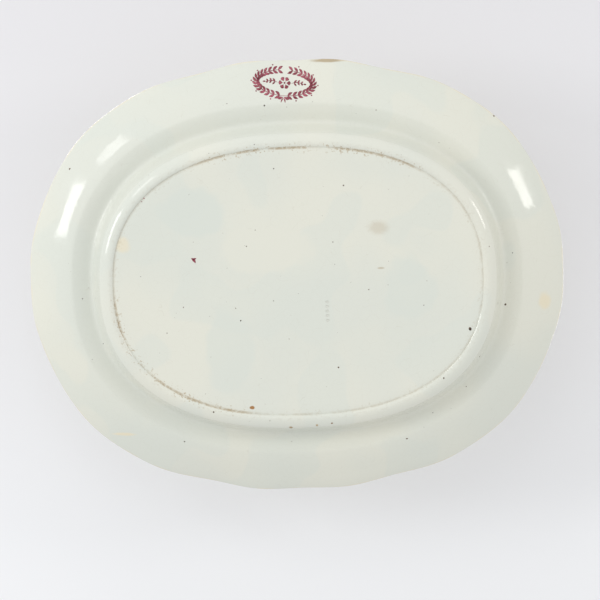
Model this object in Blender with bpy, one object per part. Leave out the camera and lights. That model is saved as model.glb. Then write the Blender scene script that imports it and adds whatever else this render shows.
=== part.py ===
"""An oval serving platter in glazed earthenware, lying face up on its foot ring.

The origin is the middle of the foot ring's resting face. +X runs along the length, +Y across
the width, and +Z is up. The wall is one pressed sheet of clay. The foot ring is a low clay strip
stuck under it, and the prints are thin layers of ceramic colour that lie on the wall.
"""

import math

import bmesh
import bpy

MM = 0.001

# The mean outline of the lip. Its lobes stand about 1 mm proud of this.
LENGTH = 430.0 * MM
WIDTH = 350.0 * MM

# The outline is an oval a little fuller than an ellipse, which has a squareness of 2.
LIP_SQUARENESS = 2.25
FOOT_SQUARENESS = 2.35

# The lip's shallow lobes: (waves round the lip, height as a share of the radius).
LOBES = ((6, 0.0022), (8, 0.0046), (10, -0.0011), (16, -0.0023), (18, 0.0018), (20, -0.0014))
LOBE_FADE = 30.0 * MM

# The three sections below are pairs of millimetres: (inset from the lip, height above the table).

# The back of the wall, from under the well out to the lip: the flat bottom, the steep side of the
# well, a shallow valley behind the flange's inner edge, a ridge, and the rising flange.
BACK = (
    (67.5, 2.0),
    (61.5, 3.0),
    (57.0, 4.6),
    (55.0, 7.5),
    (53.0, 11.5),
    (51.0, 15.5),
    (49.5, 18.0),
    (47.5, 19.8),
    (43.5, 20.9),
    (38.0, 20.5),
    (33.5, 20.1),
    (28.0, 21.6),
    (22.0, 24.2),
    (16.0, 27.2),
    (10.0, 30.8),
    (5.0, 34.3),
    (1.5, 37.1),
    (0.0, 38.6),
)

# The face of the wall, from the lip's crest in to the floor of the well.
FACE = (
    (0.4, 39.6),
    (1.8, 40.0),
    (3.6, 39.4),
    (6.5, 37.6),
    (10.0, 35.9),
    (16.0, 32.7),
    (22.0, 29.9),
    (28.0, 27.6),
    (34.0, 26.2),
    (40.0, 25.8),
    (45.0, 25.4),
    (49.0, 24.6),
    (52.5, 22.4),
    (55.5, 18.6),
    (57.8, 13.9),
    (60.5, 10.6),
    (64.0, 8.8),
    (70.0, 7.7),
    (78.0, 7.3),
    (100.0, 7.2),
)

# The foot ring's section: the inner wall, the flat resting face, the rounded outer side, and
# then the top, which follows the bottom of the wall with a gap of about 0.3 mm.
FOOT = (
    (66.0, 1.9),
    (66.1, 1.2),
    (65.9, 0.4),
    (65.2, 0.0),
    (61.0, 0.0),
    (59.6, 0.3),
    (58.4, 1.2),
    (57.6, 2.6),
    (57.3, 4.1),
    (61.5, 2.65),
)

# A print lies this far off the glaze, and is this thick.
PRINT_GAP = 0.4 * MM
PRINT_THICK = 0.25 * MM

# The border printed on the face of the flange: its insets from the lip, in millimetres.
BORDER_OUTER = 6.5
BORDER_INNER = 45.0

# The oval printed in the middle of the well.
CENTRE_LENGTH = 150.0 * MM
CENTRE_WIDTH = 96.0 * MM

# The maker's oval on the back of the flange, at the middle of the long side that faces -Y.
MARK_X = -9.0 * MM
MARK_INSET = 17.5 * MM
MARK_HALF_LENGTH = 27.5 * MM
MARK_HALF_WIDTH = 13.5 * MM
MARK_RINGS = 4
MARK_SPOKES = 24

STEPS_ROUND = 96
CENTRE_STEPS = 48

for old in list(bpy.data.objects):
    bpy.data.objects.remove(old)

platter = bpy.data.collections.new("serving_platter")
bpy.context.scene.collection.children.link(platter)


def finish(name, colour, roughness):
    """A plain material for one sub-part."""
    material = bpy.data.materials.new(name)
    material.use_nodes = True
    shader = material.node_tree.nodes["Principled BSDF"]
    shader.inputs["Base Color"].default_value = (*colour, 1.0)
    shader.inputs["Roughness"].default_value = roughness
    shader.inputs["Metallic"].default_value = 0.0
    return material


def add_object(name, mesh_data, material):
    """Turns a bmesh into a named object of the platter, shaded smooth but for its real edges."""
    bmesh.ops.recalc_face_normals(mesh_data, faces=mesh_data.faces)
    mesh = bpy.data.meshes.new(name)
    mesh_data.to_mesh(mesh)
    mesh_data.free()
    mesh.materials.append(material)
    mesh.shade_smooth()
    mesh.set_sharp_from_angle(angle=math.radians(40))
    piece = bpy.data.objects.new(name, mesh)
    platter.objects.link(piece)
    return piece


def squareness(inset):
    share = min(inset / (FOOT[0][0] * MM), 1.0)
    return LIP_SQUARENESS + (FOOT_SQUARENESS - LIP_SQUARENESS) * share


def lobe(turn, inset):
    """How far the lip's lobes push the outline out, as a factor. They fade out across the flange."""
    fade = max(0.0, 1.0 - inset / LOBE_FADE) ** 2
    return 1.0 + fade * sum(size * math.cos(waves * turn) for waves, size in LOBES)


def outline_point(turn, inset):
    """The point of the outline at this turn round the platter, this far in from the lip."""
    power = squareness(inset)
    along, across = math.cos(turn), math.sin(turn)
    reach = (abs(along) ** power + abs(across) ** power) ** (-1.0 / power)
    reach *= lobe(turn, inset)
    return (LENGTH / 2 - inset) * reach * along, (WIDTH / 2 - inset) * reach * across


def ring(mesh_data, inset, height):
    """One ring of vertices round the platter."""
    points = []
    for step in range(STEPS_ROUND):
        x, y = outline_point(2 * math.pi * step / STEPS_ROUND, inset)
        points.append(mesh_data.verts.new((x, y, height)))
    return points


def join_rings(mesh_data, first, second):
    """A band of four-sided faces between two rings with the same number of vertices."""
    for step in range(len(first)):
        after = (step + 1) % len(first)
        mesh_data.faces.new((first[step], first[after], second[after], second[step]))


def loft(section, closed):
    """A solid with this section all round it. An open section is closed by a cap at each end."""
    mesh_data = bmesh.new()
    rings = [ring(mesh_data, inset * MM, height * MM) for inset, height in section]
    for first, second in zip(rings, rings[1:]):
        join_rings(mesh_data, first, second)
    if closed:
        join_rings(mesh_data, rings[-1], rings[0])
    else:
        caps = [mesh_data.faces.new(rings[0]), mesh_data.faces.new(rings[-1])]
        bmesh.ops.poke(mesh_data, faces=caps)
    return mesh_data


def height_at(section, inset):
    """The height of a section at this inset, with straight runs between its points."""
    points = sorted((step * MM, height * MM) for step, height in section)
    for (near, low), (far, high) in zip(points, points[1:]):
        if near <= inset <= far:
            return low + (high - low) * (inset - near) / (far - near)
    return points[-1][1]


# The pressed clay wall: the well, its curved side, and the wide flange with its lobed lip.
add_object(
    "platter_body",
    loft(BACK + FACE, closed=False),
    finish("glazed_earthenware", (0.735, 0.765, 0.690), 0.12),
)

# The low clay strip round the bottom of the well that the platter stands on.
add_object(
    "foot_ring",
    loft(FOOT, closed=True),
    finish("glazed_foot", (0.700, 0.725, 0.650), 0.20),
)

# The border on the face of the flange: a thin skin that follows the flange.
border_path = [point for point in FACE if BORDER_OUTER <= point[0] <= BORDER_INNER]
border_under = [(inset, height + PRINT_GAP / MM) for inset, height in border_path]
border_over = [(inset, height + PRINT_THICK / MM) for inset, height in reversed(border_under)]
add_object(
    "face_border_print",
    loft(border_under + border_over, closed=True),
    finish("cranberry_border", (0.420, 0.060, 0.130), 0.15),
)

# The oval in the middle of the well: a flat disc stretched to an oval.
centre = bmesh.new()
bmesh.ops.create_cone(
    centre,
    cap_ends=True,
    segments=CENTRE_STEPS,
    radius1=0.5,
    radius2=0.5,
    depth=PRINT_THICK,
)
bmesh.ops.scale(centre, vec=(CENTRE_LENGTH, CENTRE_WIDTH, 1.0), verts=centre.verts)
well_floor = FACE[-1][1] * MM
centre_height = well_floor + PRINT_GAP + PRINT_THICK / 2
bmesh.ops.translate(centre, vec=(0.0, 0.0, centre_height), verts=centre.verts)
add_object(
    "face_centre_print",
    centre,
    finish("cranberry_centre", (0.420, 0.060, 0.130), 0.15),
)


def mark_point(mesh_data, spoke, share, drop):
    """A vertex of the mark's oval, held this far below the back of the flange."""
    angle = 2 * math.pi * spoke / MARK_SPOKES
    x = MARK_X + MARK_HALF_LENGTH * share * math.cos(angle)
    inset = MARK_INSET + MARK_HALF_WIDTH * share * math.sin(angle)
    power = squareness(inset)
    y = -(WIDTH / 2 - inset) * (1.0 - abs(x / (LENGTH / 2 - inset)) ** power) ** (1.0 / power)
    swell = lobe(math.atan2(y / WIDTH, x / LENGTH), inset)
    return mesh_data.verts.new((x * swell, y * swell, height_at(BACK, inset) - drop))


# The printed mark on the back of the flange: an oval skin bent to the flange.
mark = bmesh.new()
mark_sides = []
for drop in (PRINT_GAP, PRINT_GAP + PRINT_THICK):
    middle = mark_point(mark, 0, 0.0, drop)
    side = []
    for number in range(1, MARK_RINGS + 1):
        share = number / MARK_RINGS
        side.append([mark_point(mark, spoke, share, drop) for spoke in range(MARK_SPOKES)])
    for first, second in zip(side, side[1:]):
        join_rings(mark, first, second)
    for spoke in range(MARK_SPOKES):
        mark.faces.new((middle, side[0][spoke], side[0][(spoke + 1) % MARK_SPOKES]))
    mark_sides.append(side)
join_rings(mark, mark_sides[0][-1], mark_sides[1][-1])
add_object("back_print", mark, finish("cranberry_mark", (0.300, 0.020, 0.080), 0.15))
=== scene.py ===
import bisect
import math
import random

import bmesh
import bpy
from mathutils import Matrix, Vector, noise
from mathutils.bvhtree import BVHTree


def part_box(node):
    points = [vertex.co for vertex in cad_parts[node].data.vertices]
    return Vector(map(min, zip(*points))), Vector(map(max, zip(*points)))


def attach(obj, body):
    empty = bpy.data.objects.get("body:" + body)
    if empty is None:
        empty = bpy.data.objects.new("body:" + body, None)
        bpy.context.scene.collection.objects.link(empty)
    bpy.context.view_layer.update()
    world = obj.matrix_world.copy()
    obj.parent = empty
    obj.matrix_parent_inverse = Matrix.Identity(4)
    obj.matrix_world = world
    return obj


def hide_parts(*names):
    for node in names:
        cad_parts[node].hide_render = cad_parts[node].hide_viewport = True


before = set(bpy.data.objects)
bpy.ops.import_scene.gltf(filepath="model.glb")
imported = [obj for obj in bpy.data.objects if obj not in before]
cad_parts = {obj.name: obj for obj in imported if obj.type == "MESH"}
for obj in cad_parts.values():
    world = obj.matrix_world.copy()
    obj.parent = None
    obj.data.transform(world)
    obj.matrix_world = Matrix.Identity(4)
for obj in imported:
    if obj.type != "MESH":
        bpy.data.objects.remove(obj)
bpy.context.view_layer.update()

MM = 0.001


# ---------------------------------------------------------------------------------------------
# The wall. A bat of white clay was pressed over a mould: floor, steep side and wide flange in
# one sheet, its lip trimmed in shallow lobes. It was fired, dipped in a pale grey-green glaze
# and fired again, and a century of shelves and hands has stained it here and there.

FOOT_OUTER_INSET = 57.3 * MM
HALF_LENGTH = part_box("foot_ring")[1][0] + FOOT_OUTER_INSET
HALF_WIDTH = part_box("foot_ring")[1][1] + FOOT_OUTER_INSET

LIP_SQUARENESS = 2.25
FOOT_SQUARENESS = 2.35
FOOT_INNER_INSET = 66.0 * MM
LOBES = ((6, 0.0022), (8, 0.0046), (10, -0.0011), (16, -0.0023), (18, 0.0018), (20, -0.0014))
LOBE_FADE = 30.0 * MM
WELL_EDGE = 100.0 * MM
# The well was pressed a little off the middle of the lip, towards +X.
WELL_SHIFT = 0.8 * MM
WELL_SHIFT_FROM = 25.0 * MM
WELL_SHIFT_TO = 50.0 * MM

# The wall's section in millimetres: (inset from the lip, height above the table).
WALL_BACK = (
    (140.0, 2.0),
    (100.0, 1.8),
    (84.0, 1.5),
    (74.0, 1.2),
    (68.4, 1.25),
    (64.0, 2.3),
    (60.0, 3.7),
    (57.6, 5.0),
    (56.4, 6.4),
    (55.5, 8.3),
    (54.6, 10.6),
    (53.7, 13.0),
    (52.8, 15.4),
    (51.9, 17.6),
    (50.9, 19.6),
    (49.7, 21.1),
    (48.3, 21.9),
    (46.6, 22.0),
    (44.2, 21.5),
    (41.6, 20.85),
    (39.0, 20.3),
    (36.5, 19.9),
    (34.6, 19.65),
    (33.2, 19.7),
    (31.4, 20.2),
    (27.0, 21.8),
    (22.0, 24.1),
    (17.0, 26.8),
    (12.0, 29.8),
    (8.0, 32.2),
    (4.5, 34.6),
    (2.0, 36.6),
    (0.5, 38.0),
)
WALL_FACE = (
    (-0.1, 39.0),
    (0.5, 39.9),
    (1.9, 40.15),
    (3.6, 39.5),
    (6.5, 37.6),
    (10.0, 35.8),
    (16.0, 32.7),
    (22.0, 29.9),
    (28.0, 27.6),
    (34.0, 26.2),
    (40.0, 25.8),
    (44.5, 25.5),
    (47.8, 25.1),
    (50.2, 24.2),
    (52.4, 22.6),
    (54.2, 20.5),
    (55.6, 17.9),
    (57.0, 14.9),
    (58.8, 12.3),
    (61.2, 10.2),
    (64.6, 8.7),
    (70.0, 7.75),
    (78.0, 7.3),
    (100.0, 7.2),
    (140.0, 7.2),
)
WALL_STEPS = 90

# The clay lifted and sank a little as it dried, in slow waves and quick ones, which are given as
# (waves per metre, depth). The foot was rubbed flat again, so the waves fade towards it.
SLOW_WARP = (7.0, 0.40 * MM)
QUICK_WARP = (24.0, 0.10 * MM)
FLAT_INSET = 62.0 * MM
FLAT_FADE = 30.0 * MM


def lobe(turn, inset):
    """How far the lip's lobes push the outline out, as a factor."""
    fade = max(0.0, 1.0 - max(inset, 0.0) / LOBE_FADE) ** 2
    return 1.0 + fade * sum(size * math.cos(waves * turn) for waves, size in LOBES)


def outline_point(turn, inset):
    """The point at this turn round the platter, this far in from the lip."""
    share = min(max(inset, 0.0) / FOOT_INNER_INSET, 1.0)
    power = LIP_SQUARENESS + (FOOT_SQUARENESS - LIP_SQUARENESS) * share
    along, across = math.cos(turn), math.sin(turn)
    reach = (abs(along) ** power + abs(across) ** power) ** (-1.0 / power)
    reach *= lobe(turn, inset)
    shift = (inset - WELL_SHIFT_FROM) / (WELL_SHIFT_TO - WELL_SHIFT_FROM)
    shift = WELL_SHIFT * min(max(shift, 0.0), 1.0)
    # Past the well's edge the outline shrinks evenly to the middle.
    shrink = 1.0
    if inset > WELL_EDGE:
        shrink = (HALF_WIDTH - inset) / (HALF_WIDTH - WELL_EDGE)
        inset = WELL_EDGE
    x = (HALF_LENGTH - inset) * reach * along * shrink + shift
    y = (HALF_WIDTH - inset) * reach * across * shrink
    return x, y


def warp(point, inset):
    """How far the clay stands up or down here."""
    fade = min(abs(inset - FLAT_INSET) / FLAT_FADE, 1.0)
    height = 0.0
    for (waves, depth), seed in ((SLOW_WARP, 1.7), (QUICK_WARP, 5.2)):
        height += depth * noise.noise(Vector((point.x * waves, point.y * waves, seed)))
    return fade * fade * height


def turned(section, steps, is_loop):
    """Spins a section, given in insets from the lip, once round a plain circle."""
    mesh_data = bmesh.new()
    line = [mesh_data.verts.new((HALF_WIDTH - d * MM, 0.0, z * MM)) for d, z in section]
    edges = [mesh_data.edges.new(pair) for pair in zip(line, line[1:])]
    if is_loop:
        edges.append(mesh_data.edges.new((line[-1], line[0])))
    bmesh.ops.spin(
        mesh_data,
        geom=line + edges,
        cent=(0.0, 0.0, 0.0),
        axis=(0.0, 0.0, 1.0),
        angle=2.0 * math.pi,
        steps=steps,
        use_merge=True,
    )
    bmesh.ops.remove_doubles(mesh_data, verts=mesh_data.verts, dist=0.001 * MM)
    bmesh.ops.recalc_face_normals(mesh_data, faces=mesh_data.faces)
    return mesh_data


def smoothed(name, mesh_data, levels):
    """The bmesh with a Subdivision Surface applied, as a bmesh again."""
    mesh = bpy.data.meshes.new(name)
    mesh_data.to_mesh(mesh)
    mesh_data.free()
    holder = bpy.data.objects.new(name, mesh)
    bpy.context.scene.collection.objects.link(holder)
    rounding = holder.modifiers.new("rounding", "SUBSURF")
    rounding.levels = levels
    rounding.render_levels = levels
    bpy.context.view_layer.update()
    graph = bpy.context.evaluated_depsgraph_get()
    fine = bmesh.new()
    fine.from_mesh(holder.evaluated_get(graph).data)
    bpy.data.objects.remove(holder)
    bpy.data.meshes.remove(mesh)
    return fine


def to_oval(mesh_data):
    """Moves a turned shape from its circle out to the platter's lobed oval.

    It leaves two attributes for the glazes: the inset from the lip in millimetres, and 1 on the
    back or 0 on the face.
    """
    inset_layer = mesh_data.verts.layers.float.new("inset")
    back_layer = mesh_data.verts.layers.float.new("back")
    for vertex in mesh_data.verts:
        inset = HALF_WIDTH - math.hypot(vertex.co.x, vertex.co.y)
        turn = math.atan2(vertex.co.y, vertex.co.x)
        x, y = outline_point(turn, inset)
        vertex[inset_layer] = inset / MM
        vertex.co = Vector((x, y, vertex.co.z))
        vertex.co.z += warp(vertex.co, inset)
    mesh_data.normal_update()
    for vertex in mesh_data.verts:
        vertex[back_layer] = 1.0 if vertex.normal.z < 0.0 else 0.0


def add_piece(name, mesh_data, material, body="root"):
    """Makes the bmesh a smooth-shaded piece that rides on a body."""
    mesh = bpy.data.meshes.new(name)
    mesh_data.to_mesh(mesh)
    mesh_data.free()
    mesh.materials.append(material)
    mesh.shade_smooth()
    piece = bpy.data.objects.new(name, mesh)
    bpy.context.scene.collection.objects.link(piece)
    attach(piece, body)
    return piece


class Glaze:
    """Short words for building the node material of one glaze or colour."""

    def __init__(self, name):
        self.material = bpy.data.materials.new(name)
        self.material.use_nodes = True
        self.tree = self.material.node_tree
        self.shader = self.tree.nodes["Principled BSDF"]
        self.place = self.tree.nodes.new("ShaderNodeTexCoord").outputs["Object"]

    def node(self, kind, values=(), links=(), **settings):
        """A node with some input values, links into its inputs and settings."""
        made = self.tree.nodes.new(kind)
        for name, value in settings.items():
            setattr(made, name, value)
        for name, value in values:
            made.inputs[name].default_value = value
        for name, source in links:
            self.tree.links.new(source, made.inputs[name])
        return made

    def attribute(self, name):
        return self.node("ShaderNodeAttribute", attribute_name=name).outputs["Fac"]

    def set_from(self, socket, source):
        self.tree.links.new(source, self.shader.inputs[socket])

    def cloud(self, scale, detail=2.0, roughness=0.5, offset=0.0):
        """Soft noise, from 0 to 1."""
        moved = self.node(
            "ShaderNodeMapping", [("Location", (offset, offset, 0.0))], [("Vector", self.place)]
        ).outputs["Vector"]
        return self.node(
            "ShaderNodeTexNoise",
            [("Scale", scale), ("Detail", detail), ("Roughness", roughness)],
            [("Vector", moved)],
        ).outputs["Fac"]

    def step(self, value, low, high, to_low=0.0, to_high=1.0):
        """A smooth step: to_low below low, to_high above high."""
        return self.node(
            "ShaderNodeMapRange",
            [("From Min", low), ("From Max", high), ("To Min", to_low), ("To Max", to_high)],
            [("Value", value)],
            interpolation_type="SMOOTHSTEP",
        ).outputs["Result"]

    def math(self, operation, first, second):
        made = self.node("ShaderNodeMath", operation=operation)
        for socket, value in zip(made.inputs, (first, second)):
            if isinstance(value, (int, float)):
                socket.default_value = value
            else:
                self.tree.links.new(value, socket)
        return made.outputs["Value"]

    def times(self, first, second):
        return self.math("MULTIPLY", first, second)

    def mix(self, share, first, second):
        """A colour between two colours or colour sockets."""
        made = self.node("ShaderNodeMix", data_type="RGBA")
        colours = [socket for socket in made.inputs if socket.type == "RGBA"]
        for socket, value in zip(colours, (first, second)):
            if isinstance(value, tuple):
                socket.default_value = (*value, 1.0)
            else:
                self.tree.links.new(value, socket)
        self.tree.links.new(share, made.inputs["Factor"])
        return [socket for socket in made.outputs if socket.type == "RGBA"][0]

    def patch(self, x, y, half_x, half_y, soft=0.5, ragged=0.6, grain=45.0):
        """1 inside an uneven patch at x, y, given in millimetres, and 0 outside it."""
        moved = self.node(
            "ShaderNodeMapping",
            [
                ("Location", (-x / half_x, -y / half_y, 0.0)),
                ("Scale", (1.0 / (half_x * MM), 1.0 / (half_y * MM), 0.0)),
            ],
            [("Vector", self.place)],
        ).outputs["Vector"]
        reach = self.node("ShaderNodeVectorMath", [], [("Vector", moved)], operation="LENGTH")
        edge = self.times(self.cloud(grain, 2.0, 0.5, x * MM), ragged)
        reach = self.math("ADD", reach.outputs["Value"], edge)
        return self.step(reach, 1.0, 1.0 + soft, 1.0, 0.0)

    def cracks(self, size, width):
        """Fine crazing lines: 1 on a line, 0 between lines."""
        bend = self.node(
            "ShaderNodeTexNoise", [("Scale", 90.0), ("Detail", 1.0)], [("Vector", self.place)]
        ).outputs["Color"]
        bent = self.node(
            "ShaderNodeVectorMath", [("Scale", 0.004)], [("Vector", bend)], operation="SCALE"
        ).outputs["Vector"]
        where = self.node("ShaderNodeVectorMath", operation="ADD")
        self.tree.links.new(self.place, where.inputs[0])
        self.tree.links.new(bent, where.inputs[1])
        line = self.node(
            "ShaderNodeTexVoronoi",
            [("Scale", 1.0 / size)],
            [("Vector", where.outputs["Vector"])],
            feature="DISTANCE_TO_EDGE",
        ).outputs["Distance"]
        return self.step(line, 0.0, width, 1.0, 0.0)

    def bump(self, heights):
        """Chains bumps: (height socket, depth in metres)."""
        normal = None
        for height, depth in heights:
            made = self.node(
                "ShaderNodeBump", [("Strength", 1.0), ("Distance", depth)], [("Height", height)]
            )
            if normal:
                self.tree.links.new(normal, made.inputs["Normal"])
            normal = made.outputs["Normal"]
        self.set_from("Normal", normal)


GREY_GREEN = (0.668, 0.688, 0.624)
CREAM = (0.704, 0.708, 0.627)
POOLED = (0.638, 0.676, 0.622)
TEA_BROWN = (0.260, 0.165, 0.075)
DIRT = (0.370, 0.260, 0.125)
RUST = (0.340, 0.150, 0.030)
PEACH = (0.760, 0.680, 0.500)

# Clouds and stains on the back: the middle and half size in millimetres, the colour, its strength,
# how soft the edge is, and how fine its ragged grain is.
STAINS = (
    (-26.0, -27.0, 46.0, 24.0, CREAM, 0.80, 0.25, 45.0),
    (-83.0, -58.0, 34.0, 24.0, POOLED, 0.80, 0.25, 45.0),
    (-55.0, 54.0, 24.0, 46.0, POOLED, 0.60, 0.25, 45.0),
    (90.0, 8.0, 26.0, 32.0, POOLED, 0.60, 0.25, 45.0),
    (-138.0, -33.5, 5.0, 6.0, PEACH, 0.60, 0.8, 150.0),
    (199.0, 25.0, 4.5, 6.5, PEACH, 0.75, 0.8, 150.0),
    (66.0, -41.5, 5.0, 3.4, DIRT, 0.26, 1.6, 420.0),
    (67.0, -9.0, 2.6, 0.7, DIRT, 0.45, 0.9, 260.0),
    (31.0, -173.6, 12.0, 1.3, DIRT, 0.75, 0.9, 160.0),
    (-144.0, 124.0, 8.0, 1.2, PEACH, 0.80, 0.9, 160.0),
    (-39.0, 100.6, 2.2, 1.5, RUST, 0.95, 0.5, 300.0),
)
STAIN_RAGGED = 0.7
FOOT_CORNER = 67.9

# A column of plain dents that a workman pressed into the wet clay to tally the platter.
TALLY_DENTS = 5
TALLY_X = 23.5
TALLY_Y = 17.0
TALLY_PITCH = 3.7
TALLY_DEPTH = 0.3 * MM


def glaze_ground(glaze):
    """The glaze's own colour: slow clouds of cream and grey-green, with faint crazing."""
    slow = glaze.cloud(9.0)
    tint = glaze.mix(glaze.step(slow, 0.38, 0.64), GREY_GREEN, CREAM)
    pooled = glaze.step(glaze.cloud(17.0, 1.0, 0.4, 0.31), 0.52, 0.56, 0.0, 0.40)
    tint = glaze.mix(pooled, tint, POOLED)
    return glaze.mix(glaze.times(glaze.cracks(0.0065, 0.012), 0.10), tint, TEA_BROWN)


def glaze_gloss(glaze, dents=()):
    """Fired gloss, dulled here and there by wear, over the faint ripple of a dipped glaze."""
    dull = glaze.step(glaze.cloud(40.0, 4.0, 0.6), 0.35, 0.75, 0.07, 0.17)
    glaze.set_from("Roughness", dull)
    glaze.shader.inputs["IOR"].default_value = 1.5
    ripple = glaze.cloud(55.0)
    pits = glaze.step(glaze.cloud(900.0, 1.0), 0.30, 0.24)
    glaze.bump([(ripple, 0.00022), (pits, 0.00003), *dents])


def corner_dirt(glaze, near, around):
    """A broken line of dirt where near is 1 and crumbs of it where around is 1.

    It is thickest at the -X, +Y quarter of the corner and along its -Y side.
    """
    broken = glaze.step(glaze.cloud(30.0, 4.0, 0.7), 0.38, 0.54)
    fleck = glaze.step(glaze.cloud(420.0, 3.0, 0.7), 0.34, 0.56, 0.20, 1.0)
    quarter = glaze.patch(-115.0, 75.0, 75.0, 70.0, 0.6, 0.6, 30.0)
    side = glaze.patch(45.0, -110.0, 125.0, 22.0, 0.8, 0.6, 30.0)
    thick = glaze.step(glaze.math("MAXIMUM", quarter, side), 0.0, 1.0, 0.28, 1.0)
    line = glaze.times(glaze.times(near, broken), glaze.times(fleck, thick))
    crumbs = glaze.step(glaze.cloud(520.0, 2.0, 0.6, 0.4), 0.60, 0.66)
    return glaze.math("MAXIMUM", line, glaze.times(glaze.times(around, crumbs), thick))


def wall_glaze():
    """The body glaze with the stains that the back has taken."""
    glaze = Glaze("grey_green_glaze")
    inset = glaze.attribute("inset")
    back = glaze.attribute("back")
    tint = glaze_ground(glaze)
    for x, y, half_x, half_y, colour, strength, soft, grain in STAINS:
        inside = glaze.patch(x, y, half_x, half_y, soft, STAIN_RAGGED, grain)
        tint = glaze.mix(glaze.times(glaze.times(inside, strength), back), tint, colour)
    # Dirt in the corner where the bottom meets the foot ring.
    off_corner = glaze.math("ABSOLUTE", glaze.math("SUBTRACT", inset, FOOT_CORNER), 0.0)
    line = glaze.step(off_corner, 0.3, 1.5, 0.70, 0.0)
    dirt = corner_dirt(glaze, line, glaze.step(off_corner, 1.5, 6.0, 0.60, 0.0))
    tint = glaze.mix(glaze.times(dirt, back), tint, DIRT)
    tally = 0.0
    for number in range(TALLY_DENTS):
        y = TALLY_Y + TALLY_PITCH * number
        dent = glaze.patch(TALLY_X, y, 1.2, 0.9, 0.5, 0.3, 400.0)
        tally = glaze.math("MAXIMUM", dent, tally)
    tally = glaze.times(tally, back)
    tint = glaze.mix(glaze.times(tally, 0.10), tint, TEA_BROWN)
    # The lip's thin glaze lets the cream clay show.
    thin = glaze.step(inset, 0.2, 1.8, 0.55, 0.0)
    thin = glaze.times(thin, glaze.step(glaze.cloud(60.0), 0.4, 0.6))
    tint = glaze.mix(thin, tint, PEACH)
    glaze.set_from("Base Color", tint)
    glaze_gloss(glaze, [(glaze.math("SUBTRACT", 1.0, tally), TALLY_DEPTH)])
    return glaze.material


# The section runs from the middle of the bottom, round the lip, to the middle of the well.
wall_section = ((HALF_WIDTH / MM, 2.0),) + WALL_BACK + WALL_FACE + ((HALF_WIDTH / MM, 7.2),)
wall_mesh = smoothed("wall", turned(wall_section, WALL_STEPS, is_loop=False), levels=2)
to_oval(wall_mesh)
wall_tree = BVHTree.FromBMesh(wall_mesh)
wall = add_piece("glazed_wall", wall_mesh, wall_glaze())
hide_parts("platter_body")


# ---------------------------------------------------------------------------------------------
# The foot ring. A low strip of the same clay was stuck with slip round the bottom of the well
# and run smooth with a shaped tool. Its crest, the resting face, is a little worn and brown.

# Pairs of millimetres, as for the wall: the inner side, the crest, the outer side and the root.
FOOT_SECTION = (
    (67.6, 1.5),
    (67.1, 1.05),
    (66.5, 0.65),
    (65.8, 0.3),
    (65.0, 0.08),
    (64.1, 0.0),
    (63.0, 0.12),
    (61.8, 0.45),
    (60.4, 1.05),
    (59.0, 1.85),
    (57.8, 2.75),
    (56.9, 3.75),
    (56.2, 4.85),
    (55.8, 6.0),
    (57.6, 6.2),
    (61.0, 4.8),
    (66.6, 2.6),
)


def foot_glaze():
    """The body glaze, worn on the crest, with dirt on the inner side."""
    glaze = Glaze("worn_foot_glaze")
    inset = glaze.attribute("inset")
    height = glaze.node("ShaderNodeSeparateXYZ", [], [("Vector", glaze.place)]).outputs["Z"]
    tint = glaze_ground(glaze)
    low = glaze.step(height, 0.00005, 0.00035, 1.0, 0.0)
    worn = glaze.times(low, glaze.step(glaze.cloud(260.0, 4.0, 0.7), 0.45, 0.65, 0.0, 0.07))
    tint = glaze.mix(worn, tint, TEA_BROWN)
    line = glaze.step(inset, 66.3, 67.3, 0.0, 0.70)
    dirt = corner_dirt(glaze, line, glaze.step(inset, 62.0, 66.5, 0.0, 0.60))
    tint = glaze.mix(dirt, tint, DIRT)
    glaze.set_from("Base Color", tint)
    glaze_gloss(glaze)
    return glaze.material


foot_mesh = smoothed("foot", turned(FOOT_SECTION, WALL_STEPS, is_loop=True), levels=2)
to_oval(foot_mesh)
foot_tree = BVHTree.FromBMesh(foot_mesh)
foot = add_piece("glazed_foot_ring", foot_mesh, foot_glaze())
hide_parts("foot_ring")


# ---------------------------------------------------------------------------------------------
# The printed mark. A wreath in cranberry ink, printed on tissue from an engraved copper plate and
# rubbed down on the back of the flange before it was glazed. It stands a hair proud of the wall.

MARK_X = -5.4
MARK_Y = -157.2
MARK_TILT = math.radians(6.0)
INK_PROUD = 0.05 * MM
INK_SUNK = 0.05 * MM

# The wreath's stem is an open oval in two halves that grow from the ribbon at its foot.
WREATH_HALF = (22.4, 10.0)
WREATH_FOOT = 0.5 * math.pi
WREATH_SWEEP = math.radians(168.0)
WREATH_LEAVES = 15
LEAF_SPREAD = 0.85
SPRIG_ROOT = 5.6
SPRIG_LENGTH = 9.4


def leaf(ink, x, y, heading, length, width, bend=0.0, fullness=1.0, steps=5):
    """Draws a leaf, in millimetres, that grows from x, y and curves off its first heading."""
    made = bmesh.ops.create_grid(ink, x_segments=steps, y_segments=2, size=0.5)["verts"]
    for vertex in made:
        along = vertex.co.x + 0.5
        side = vertex.co.y * width * math.sin(math.pi * along**fullness)
        turn = heading + bend * along
        chord = heading + 0.5 * bend * along
        vertex.co.x = x + length * along * math.cos(chord) - side * math.sin(turn)
        vertex.co.y = y + length * along * math.sin(chord) + side * math.cos(turn)
    bmesh.ops.remove_doubles(ink, verts=made, dist=0.0001)


def dot(ink, x, y, radius):
    """A berry or the eye of a flower."""
    made = bmesh.ops.create_circle(ink, cap_ends=True, segments=8, radius=radius)["verts"]
    bmesh.ops.translate(ink, vec=(x, y, 0.0), verts=made)


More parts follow.
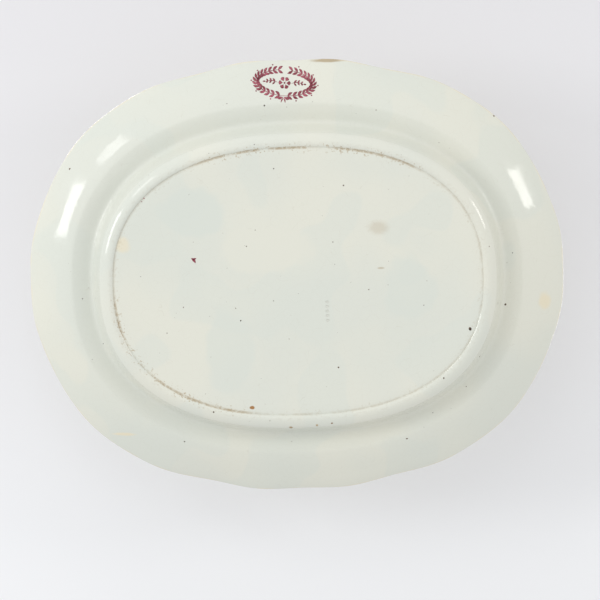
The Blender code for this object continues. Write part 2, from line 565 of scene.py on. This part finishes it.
def blossom(ink, x, y, radius, petals=5, turn=0.0):
    """A ring of rounded petals round a dot."""
    for number in range(petals):
        heading = turn + 2.0 * math.pi * number / petals
        root_x = x + 0.24 * radius * math.cos(heading)
        root_y = y + 0.24 * radius * math.sin(heading)
        width = 4.2 * radius / petals
        leaf(ink, root_x, root_y, heading, 0.76 * radius, width, fullness=1.7)
    dot(ink, x, y, 0.16 * radius)


def stem(ink, point_at, width, steps):
    """Draws a line through point_at(0 to 1), fine at its ends."""
    made = bmesh.ops.create_grid(ink, x_segments=steps, y_segments=1, size=0.5)["verts"]
    for vertex in made:
        share = vertex.co.x + 0.5
        near, far = point_at(share - 0.01), point_at(share + 0.01)
        heading = math.atan2(far[1] - near[1], far[0] - near[0])
        side = vertex.co.y * width * (0.4 + 0.6 * math.sin(math.pi * share))
        x, y = point_at(share)
        vertex.co.x = x - side * math.sin(heading)
        vertex.co.y = y + side * math.cos(heading)


# A line that feels for the back starts this far below the table, one for the face this far above.
FEEL_FROM_BELOW = 30.0 * MM
FEEL_FROM_ABOVE = 70.0 * MM


def touch(tree, x, y, upward):
    """Where a vertical line meets the near side of a surface, and the surface's normal there.

    A line that slips between two faces is tried again a hair to the side.
    """
    start_z = -FEEL_FROM_BELOW if upward > 0.0 else FEEL_FROM_ABOVE
    for nudge in (0.0, 0.007 * MM, -0.011 * MM):
        start = Vector((x + nudge, y - 0.6 * nudge, start_z))
        hit, normal, _, _ = tree.ray_cast(start, Vector((0.0, 0.0, upward)))
        if hit and normal.z * upward < 0.0:
            return hit, normal
    return None, None


def rub_down(name, ink, tree, from_below, material):
    """Lays a flat drawing, in millimetres, on a surface and gives it the thickness of ink."""
    for face in ink.faces:
        face.normal_update()
        if face.normal.z < 0.0:
            face.normal_flip()
    bmesh.ops.solidify(ink, geom=ink.faces[:], thickness=1.0)
    upward = 1.0 if from_below else -1.0
    for vertex in ink.verts:
        is_top = vertex.co.z > -0.5
        hit, normal = touch(tree, vertex.co.x * MM, vertex.co.y * MM, upward)
        vertex.co = hit + normal * (INK_PROUD if is_top else -INK_SUNK)
    bmesh.ops.recalc_face_normals(ink, faces=ink.faces)
    return add_piece(name, ink, material)


def ink_glaze(name, dark, light):
    """Ceramic ink: the plate's fine stipple, fired darker where the ink lay thick."""
    glaze = Glaze(name)
    stipple = glaze.times(glaze.cloud(1300.0, 2.0, 0.6), 0.7)
    fading = glaze.times(glaze.cloud(120.0, 2.0, 0.5, 0.2), 0.6)
    share = glaze.step(glaze.math("ADD", stipple, fading), 0.48, 0.84)
    glaze.set_from("Base Color", glaze.mix(share, dark, light))
    glaze_gloss(glaze)
    return glaze.material


def wreath_point(angle, swell=0.0):
    x, y = WREATH_HALF
    return (x + swell) * math.cos(angle), (y + swell) * math.sin(angle)


def sprig_point(hand, share):
    return hand * (SPRIG_ROOT + SPRIG_LENGTH * share), -math.sin(math.pi * share)


def half_wreath(ink, hand):
    """Draws the half of the mark that lies towards -X for hand 1, or towards +X for hand -1."""
    sweep = hand * WREATH_SWEEP
    stem(ink, lambda share: wreath_point(WREATH_FOOT + sweep * share), 0.75, 48)
    for number in range(WREATH_LEAVES):
        angle = WREATH_FOOT + sweep * (number + 0.7) / WREATH_LEAVES
        x, y = wreath_point(angle)
        ahead_x, ahead_y = wreath_point(angle + 0.02 * hand)
        heading = math.atan2(ahead_y - y, ahead_x - x)
        for side in (1.0, -1.0):
            leaf(ink, x, y, heading + side * LEAF_SPREAD, 4.9, 2.1, bend=-0.5 * side)
        if number % 3 == 1:
            dot(ink, *wreath_point(angle + 0.06 * hand, 4.3), 0.6)
    # The ribbon's loop and tail at the foot of the wreath.
    leaf(ink, 0.0, 11.0, WREATH_FOOT - hand * 1.25, 5.0, 2.4, fullness=1.4)
    leaf(ink, 0.0, 11.6, WREATH_FOOT - hand * 0.75, 4.4, 1.1, bend=hand * 0.7)


def sprig(ink, hand):
    """Draws a leafy sprig beside the blossom, towards +X for hand 1 or -X for hand -1."""
    stem(ink, lambda share: sprig_point(hand, share), 0.6, 12)
    outward = 0.0 if hand > 0.0 else math.pi
    for number in range(3):
        x, y = sprig_point(hand, (number + 0.6) / 3.2)
        for side in (1.0, -1.0):
            leaf(ink, x, y, outward + side * 0.8, 3.4 - 0.6 * number, 1.4)
    leaf(ink, *sprig_point(hand, 1.0), outward, 2.6, 1.2)


mark_ink = bmesh.new()
for hand in (1.0, -1.0):
    half_wreath(mark_ink, hand)
    sprig(mark_ink, hand)
blossom(mark_ink, 0.0, 0.0, 5.0, petals=6)
bmesh.ops.rotate(mark_ink, matrix=Matrix.Rotation(MARK_TILT, 3, "Z"), verts=mark_ink.verts)
bmesh.ops.translate(mark_ink, vec=(MARK_X, MARK_Y, 0.0), verts=mark_ink.verts)
mark_material = ink_glaze("cranberry_mark_ink", (0.150, 0.014, 0.024), (0.420, 0.110, 0.150))
mark = rub_down("printed_mark", mark_ink, wall_tree, True, mark_material)
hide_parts("back_print")

# A fleck of ink that dropped off the tissue on to the bottom, and two specks of it.
fleck_ink = bmesh.new()
leaf(fleck_ink, -84.0, -21.5, 0.45, 5.6, 2.2, bend=0.9)
leaf(fleck_ink, -83.0, -20.4, -0.2, 3.4, 1.5)
dot(fleck_ink, -119.6, -70.4, 0.5)
dot(fleck_ink, -121.5, -67.8, 0.4)
fleck = rub_down("stray_ink", fleck_ink, wall_tree, True, mark_material)


# ---------------------------------------------------------------------------------------------
# The border on the face of the flange. A running vine with blossoms between ruled lines, cut from
# one long strip of printed tissue and rubbed down all the way round, under the glaze.

# All in millimetres, the insets from the lip.
BORDER_MIDDLE = 25.0
BORDER_WAVES = 24
LEAVES_PER_WAVE = 8
EDGE_LEAVES = 192
VINE_SWING = 6.5
BAY_DEPTH = 7.0
BLOSSOM_RADIUS = 5.0
RULED_LINES = ((7.3, 0.9), (8.9, 0.4), (42.0, 0.4), (43.6, 0.9))
OUTER_EDGE = 9.6
INNER_EDGE = 41.4

# Lengths round the platter are measured along the border's middle line.
GIRTH_STEPS = 720

girth_turns = [2.0 * math.pi * step / GIRTH_STEPS for step in range(GIRTH_STEPS + 1)]
girth_points = [Vector(outline_point(turn, BORDER_MIDDLE * MM)) for turn in girth_turns]
girth_lengths = [0.0]
for before, after in zip(girth_points, girth_points[1:]):
    girth_lengths.append(girth_lengths[-1] + (after - before).length / MM)
GIRTH = girth_lengths[-1]


def on_flange(along, inset):
    """The plan point this far along the border's middle line, this far in from the lip."""
    along %= GIRTH
    step = min(bisect.bisect_right(girth_lengths, along), GIRTH_STEPS) - 1
    part = (along - girth_lengths[step]) / (girth_lengths[step + 1] - girth_lengths[step])
    turn = girth_turns[step] + part * (girth_turns[step + 1] - girth_turns[step])
    x, y = outline_point(turn, inset * MM)
    return x / MM, y / MM


def vine_inset(along):
    """The vine's inset this far round: it swings in and out."""
    return BORDER_MIDDLE + VINE_SWING * math.sin(2.0 * math.pi * BORDER_WAVES * along / GIRTH)


def ring_line(ink, point_at, width, steps):
    """A closed line: point_at(share, side) is its point at a share of the way round."""
    made = bmesh.ops.create_circle(ink, cap_ends=False, segments=steps, radius=1.0)["verts"]
    edges = list(dict.fromkeys(edge for vertex in made for edge in vertex.link_edges))
    grown = bmesh.ops.extrude_edge_only(ink, edges=edges)["geom"]
    other = [item for item in grown if isinstance(item, bmesh.types.BMVert)]
    for side, row in ((-0.5, made), (0.5, other)):
        for vertex in row:
            share = math.atan2(vertex.co.y, vertex.co.x) / (2.0 * math.pi) % 1.0
            vertex.co.x, vertex.co.y = point_at(share, side * width)


def bay_flower(ink, along, side, turn):
    """A blossom on a bent stalk, and three berries, in the bay on the other side of the vine."""
    bay = BORDER_MIDDLE - side * BAY_DEPTH
    root = bay + side * BLOSSOM_RADIUS
    blossom(ink, along, bay, BLOSSOM_RADIUS, turn=turn)

    def stalk_point(share):
        sway = 4.0 * math.sin(3.0 * share) * (1.0 - share)
        return along + sway, root + (vine_inset(along) - root) * share

    stem(ink, stalk_point, 0.5, 6)
    for step in (-1.0, 0.0, 1.0):
        x = along + 5.5 * step + 0.25 * GIRTH / BORDER_WAVES
        dot(ink, x, bay - side * (2.0 - abs(step)), 0.8)


border_ink = bmesh.new()
for number in range(BORDER_WAVES * LEAVES_PER_WAVE):
    along = number * GIRTH / (BORDER_WAVES * LEAVES_PER_WAVE)
    phase = 2.0 * math.pi * number / LEAVES_PER_WAVE
    slope = VINE_SWING * 2.0 * math.pi * BORDER_WAVES / GIRTH * math.cos(phase)
    side = 1.0 if number % 2 else -1.0
    if abs(math.sin(phase)) > 0.9:
        side = math.copysign(1.0, math.sin(phase))
    heading = math.atan(slope) + side * LEAF_SPREAD
    leaf(border_ink, along, vine_inset(along), heading, 8.2, 3.6, bend=-0.5 * side)
    if number % 4 == 2:
        bay_flower(border_ink, along, side, 0.3 * number)
for number in range(EDGE_LEAVES):
    along = number * GIRTH / EDGE_LEAVES
    leaf(border_ink, along, OUTER_EDGE, 0.5 * math.pi, 2.6, 1.6, steps=3)
    leaf(border_ink, along, INNER_EDGE, -0.5 * math.pi, 2.2, 1.5, steps=3)
# The leaves and flowers were drawn along a straight strip, which now goes round the flange.
for vertex in border_ink.verts:
    vertex.co.x, vertex.co.y = on_flange(vertex.co.x, vertex.co.y)
ring_line(
    border_ink,
    lambda share, side: on_flange(share * GIRTH, vine_inset(share * GIRTH) + side),
    width=0.8,
    steps=960,
)
for inset, width in RULED_LINES:
    ring_line(border_ink, lambda share, side: on_flange(share * GIRTH, inset + side), width, 480)
face_material = ink_glaze("cranberry_face_ink", (0.210, 0.014, 0.034), (0.520, 0.150, 0.200))
border = rub_down("printed_border", border_ink, wall_tree, False, face_material)
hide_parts("face_border_print")


# ---------------------------------------------------------------------------------------------
# The spray in the middle of the well. A full flower with leafy stems round it inside a ruled oval,
# printed in the same ink from the same kind of tissue.

# Half lengths and half widths in millimetres.
OVAL_HALF = (72.5, 45.5)
SPRAY_HALF = (57.0, 32.0)
OVAL_LINES = ((0.0, 0.9), (2.0, 0.4))
OVAL_LEAVES = 64
# The full flower's outer and inner petals: (petals, root, length, width).
FLOWER_RINGS = ((9, 6.8, 9.2, 6.2), (6, 3.2, 3.2, 2.7))
SPRAY_STEMS = 10
SPRAY_CURL = 0.24
SPRAY_ROOT = 17.0


def oval_point(share, side, inward=0.0):
    """A point of the ruled oval, this far inside it."""
    angle = 2.0 * math.pi * share
    half_x, half_y = OVAL_HALF[0] - inward + side, OVAL_HALF[1] - inward + side
    return half_x * math.cos(angle), half_y * math.sin(angle)


def spray_stem(ink, angle):
    """A curved stem, leaves by turns on its two sides, and a blossom at its end."""
    far = 1.0 / math.hypot(math.cos(angle) / SPRAY_HALF[0], math.sin(angle) / SPRAY_HALF[1])

    def stem_point(share):
        reach = SPRAY_ROOT + (far - SPRAY_ROOT) * share
        bent = angle + SPRAY_CURL * math.sin(math.pi * min(share, 1.0))
        return reach * math.cos(bent), reach * math.sin(bent)

    stem(ink, stem_point, 0.9, 20)
    blossom(ink, *stem_point(1.0 + 4.0 / (far - SPRAY_ROOT)), 4.4, turn=angle)
    leaves = max(3, round((far - SPRAY_ROOT) / 5.5))
    for count in range(leaves):
        share = (count + 0.5) / leaves
        x, y = stem_point(share)
        next_x, next_y = stem_point(share + 0.02)
        heading = math.atan2(next_y - y, next_x - x)
        side = 1.0 if count % 2 else -1.0
        leaf(ink, x, y, heading + side * 0.8, 7.5 - 2.5 * share, 3.2, bend=-0.5 * side)


centre_ink = bmesh.new()
for petals, root, length, width in FLOWER_RINGS:
    for number in range(petals):
        heading = 2.0 * math.pi * number / petals
        x, y = root * math.cos(heading), root * math.sin(heading)
        leaf(centre_ink, x, y, heading, length, width, fullness=1.5)
for number in range(7):
    angle = 2.0 * math.pi * number / 6.0
    reach = 1.7 if number < 6 else 0.0
    dot(centre_ink, reach * math.cos(angle), reach * math.sin(angle), 0.6)
for number in range(SPRAY_STEMS):
    spray_stem(centre_ink, 2.0 * math.pi * (number + 0.5) / SPRAY_STEMS)
for inward, width in OVAL_LINES:
    ring_line(centre_ink, lambda share, side: oval_point(share, side, inward), width, 180)
for number in range(OVAL_LEAVES):
    share = (number + 0.5) / OVAL_LEAVES
    x, y = oval_point(share, 0.0, 2.6)
    inner_x, inner_y = oval_point(share, 0.0, 3.6)
    leaf(centre_ink, x, y, math.atan2(inner_y - y, inner_x - x), 2.4, 1.5, steps=3)
centre = rub_down("printed_centre", centre_ink, wall_tree, False, face_material)
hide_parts("face_centre_print")


# ---------------------------------------------------------------------------------------------
# The specks. Iron spots in the clay and grit from the kiln that burnt into the glaze, and three
# rough scars on the foot ring where the stilts that held the platter in the kiln were broken off.

# x, y and radius in millimetres. The biggest lies near the +X end of the bottom.
IRON_SPOTS = (
    (137, 42, 1.5), (-22, -140, 0.7), (162, -125, 0.8), (-180, -93, 0.8), (85, 133, 0.7),
    (-95, 130, 0.6), (-46, 30, 0.6), (31, 70, 0.7), (39, -76, 0.6), (-16, -91, 0.5),
    (-70, 103, 0.7), (145, 67, 0.6), (115, 81, 0.7), (167, 26, 0.9), (-173, 11, 0.5),
)
# The small ones fall anywhere in this half length and half width that is also in this oval.
IRON_SPOT_COUNT = 100
SPOT_FIELD = (190.0, 150.0)
SPOT_OVAL = (190.0, 152.0)
GRAIN_SIZE = 1.15
GRAIN_HEIGHT = 0.22
STILT_SCARS = ((-8.5, 118.0, 1.3), (12.5, 116.6, 1.1), (24.5, 115.2, 0.9))


def add_grains(name, grains, trees, material):
    """Low domes, half sunk in the glaze on the back, each a little out of round."""
    heap = bmesh.new()
    for x, y, radius in grains:
        hits = [touch(tree, x * MM, y * MM, 1.0) for tree in trees]
        hit, normal = min((found for found in hits if found[0]), key=lambda found: found[0].z)
        size = GRAIN_SIZE * radius * MM
        made = bmesh.ops.create_icosphere(heap, subdivisions=2, radius=size)["verts"]
        stretch = Vector((random.uniform(0.75, 1.0), random.uniform(0.65, 1.0), GRAIN_HEIGHT))
        bmesh.ops.scale(heap, vec=stretch, verts=made)
        spin = Matrix.Rotation(random.uniform(0.0, math.pi), 3, "Z")
        tilt = normal.to_track_quat("Z", "Y").to_matrix()
        bmesh.ops.rotate(heap, matrix=tilt @ spin, verts=made)
        bmesh.ops.translate(heap, vec=hit, verts=made)
    return add_piece(name, heap, material)


def grain_glaze(name, dark, light, roughness):
    """Burnt grit or bare clay, mottled between two colours."""
    glaze = Glaze(name)
    mottle = glaze.step(glaze.cloud(700.0), 0.4, 0.6)
    glaze.set_from("Base Color", glaze.mix(mottle, dark, light))
    rough = glaze.step(glaze.cloud(300.0), 0.3, 0.7, roughness, roughness + 0.3)
    glaze.set_from("Roughness", rough)
    glaze.bump([(glaze.cloud(1500.0), 0.0001)])
    return glaze.material


random.seed(7)
spots = list(IRON_SPOTS)
while len(spots) < IRON_SPOT_COUNT:
    x, y = (random.uniform(-half, half) for half in SPOT_FIELD)
    if math.hypot(x / SPOT_OVAL[0], y / SPOT_OVAL[1]) < 1.0:
        spots.append((x, y, 0.18 + 0.30 * random.random() ** 3))
iron = add_grains(
    "iron_spots",
    spots,
    (wall_tree, foot_tree),
    grain_glaze("burnt_iron", (0.030, 0.020, 0.014), (0.130, 0.070, 0.035), 0.25),
)
scars = add_grains(
    "stilt_scars",
    STILT_SCARS,
    (wall_tree, foot_tree),
    grain_glaze("bare_clay", (0.200, 0.120, 0.060), (0.470, 0.370, 0.230), 0.6),
)


# ---------------------------------------------------------------------------------------------
# The stage: a pale floor under the platter and a pale paper sheet above it. The platter is seen
# both from above and from below, so each of the two shows only on its own front side. The paper
# sheet carries painted shade: darker towards -Y, lighter towards +Y.

FLOOR_RADIUS = 6.0
FLOOR_HEIGHT = -0.3 * MM
FLOOR_WHITE = (0.80, 0.80, 0.80)
BACKDROP_RADIUS = 0.6
BACKDROP_HEIGHT = 0.14
# The backdrop's painted shade: its colour runs from the darker one at -Y to the lighter one at +Y,
# over this half width either side of the middle.
BACKDROP_PAINTED_SHADE_AHEAD = (0.722, 0.718, 0.742)
BACKDROP_PAINTED_LIGHT_BEHIND = (0.832, 0.842, 0.862)
PAINTED_SHADE_HALF = 0.24

# What the lights point at.
MIDDLE = (0.0, 0.0, 0.03)


def one_way_paper(name, ahead, behind):
    """Paper seen only from the side its face points to, with painted shade from -Y to +Y."""
    material = bpy.data.materials.new(name)
    material.use_nodes = True
    tree = material.node_tree
    tree.nodes.clear()
    side = tree.nodes.new("ShaderNodeNewGeometry").outputs["Backfacing"]
    paper = tree.nodes.new("ShaderNodeBsdfDiffuse")
    place = tree.nodes.new("ShaderNodeTexCoord").outputs["Object"]
    across = tree.nodes.new("ShaderNodeSeparateXYZ")
    tree.links.new(place, across.inputs["Vector"])
    share = tree.nodes.new("ShaderNodeMapRange")
    share.inputs["From Min"].default_value = -PAINTED_SHADE_HALF
    share.inputs["From Max"].default_value = PAINTED_SHADE_HALF
    tree.links.new(across.outputs["Y"], share.inputs["Value"])
    # Painted shade: the paper's colour ramps from the colour given for -Y to the colour given for
    # +Y.
    ramp = tree.nodes.new("ShaderNodeValToRGB")
    ramp.color_ramp.elements[0].color = (*ahead, 1.0)
    ramp.color_ramp.elements[1].color = (*behind, 1.0)
    tree.links.new(share.outputs["Result"], ramp.inputs["Fac"])
    tree.links.new(ramp.outputs["Color"], paper.inputs["Color"])
    clear = tree.nodes.new("ShaderNodeBsdfTransparent")
    choice = tree.nodes.new("ShaderNodeMixShader")
    tree.links.new(side, choice.inputs[0])
    tree.links.new(paper.outputs[0], choice.inputs[1])
    tree.links.new(clear.outputs[0], choice.inputs[2])
    out = tree.nodes.new("ShaderNodeOutputMaterial")
    tree.links.new(choice.outputs[0], out.inputs["Surface"])
    return material


def add_stage(name, radius, height, faces_up, ahead, behind):
    """A round sheet that neither casts a shadow nor shows in the glaze."""
    sheet = bmesh.new()
    bmesh.ops.create_circle(sheet, cap_ends=True, segments=96, radius=radius)
    bmesh.ops.translate(sheet, vec=(0.0, 0.0, height), verts=sheet.verts)
    bmesh.ops.recalc_face_normals(sheet, faces=sheet.faces)
    sheet.normal_update()
    for face in sheet.faces:
        if (face.normal.z > 0) != faces_up:
            face.normal_flip()
    mesh = bpy.data.meshes.new(name)
    sheet.to_mesh(mesh)
    sheet.free()
    mesh.materials.append(one_way_paper(name, ahead, behind))
    piece = bpy.data.objects.new(name, mesh)
    bpy.context.scene.collection.objects.link(piece)
    piece.visible_diffuse = False
    piece.visible_glossy = False
    piece.visible_transmission = False
    piece.visible_shadow = False


add_stage("floor", FLOOR_RADIUS, FLOOR_HEIGHT, True, FLOOR_WHITE, FLOOR_WHITE)
# Painted shade on the backdrop paper: darker towards -Y, lighter towards +Y.
add_stage("backdrop", BACKDROP_RADIUS, BACKDROP_HEIGHT, False, BACKDROP_PAINTED_SHADE_AHEAD, BACKDROP_PAINTED_LIGHT_BEHIND)
bpy.context.scene.view_settings.view_transform = "Standard"


def add_light(name, place, width, height, power, colour=(1.0, 1.0, 1.0)):
    """An area light that points at the middle of the platter."""
    data = bpy.data.lights.new(name, "AREA")
    data.shape = "RECTANGLE"
    data.size = width
    data.size_y = height
    data.energy = power
    data.color = colour
    light = bpy.data.objects.new(name, data)
    light.location = place
    aim = Vector(MIDDLE) - Vector(place)
    light.rotation_euler = aim.to_track_quat("-Z", "Y").to_euler()
    light.visible_camera = False
    bpy.context.scene.collection.objects.link(light)
    return light


# Below, for the back: small windows at the left and the right that the glaze mirrors, and soft
# screens ahead, at the left and at the right that only shade it.
SCREEN = 0.80
add_light("left_below", (-1.78, -0.47, -1.17), 0.64, 0.50, 6.6)
add_light("left_ahead_below", (-1.14, -1.00, -1.17), 0.34, 0.36, 1.5)
add_light("right_below", (1.62, -0.52, -0.88), 0.44, 0.34, 3.4, (1.0, 0.98, 0.94))
for name, place, power in (
    ("ahead_high_screen", (-0.2, -1.0, -1.7), 1.9),
    ("ahead_low_screen", (-0.3, -1.8, -0.7), 3.6),
    ("left_low_screen", (-1.8, -0.4, -0.7), 3.9),
    ("right_low_screen", (1.8, 0.4, -0.7), 1.0),
):
    screen = add_light(name, place, SCREEN, SCREEN, power)
    screen.visible_glossy = False
# Above, for the face.
add_light("left_above", (-1.0, -0.9, 1.5), 0.8, 0.8, 12.0)
add_light("right_above", (1.3, 0.4, 1.4), 0.6, 0.6, 5.0)

ROOM_WHITE = (1.0, 1.0, 1.0, 1.0)
ROOM_STRENGTH = 0.834

world = bpy.data.worlds.new("studio")
world.use_nodes = True
world.node_tree.nodes["Background"].inputs["Color"].default_value = ROOM_WHITE
world.node_tree.nodes["Background"].inputs["Strength"].default_value = ROOM_STRENGTH
bpy.context.scene.world = world


# ---------------------------------------------------------------------------------------------
# The camera looks at the back of the platter from a little towards the printed mark.

SENSOR_WIDTH = 36.0
CAMERA_DISTANCE = 2.4
CAMERA_TILT = math.radians(7.6)
CAMERA_ROLL = math.radians(1.7)
VIEW_WIDTH = 0.4845
AIM = Vector((0.0018, 0.0185, 0.03))

toward_camera = Vector((0.0, -math.sin(CAMERA_TILT), -math.cos(CAMERA_TILT)))
forward = -toward_camera
right = forward.cross(Vector((0.0, -1.0, 0.0))).normalized()
up = right.cross(forward)
roll = Matrix.Rotation(CAMERA_ROLL, 3, forward)
right, up = roll @ right, roll @ up
camera_data = bpy.data.cameras.new("camera")
camera_data.sensor_width = SENSOR_WIDTH
camera_data.lens = SENSOR_WIDTH * CAMERA_DISTANCE / VIEW_WIDTH
camera = bpy.data.objects.new("camera", camera_data)
axes = Matrix((right, up, toward_camera)).transposed()
camera.matrix_world = Matrix.Translation(AIM + toward_camera * CAMERA_DISTANCE) @ axes.to_4x4()
bpy.context.scene.collection.objects.link(camera)
bpy.context.scene.camera = camera
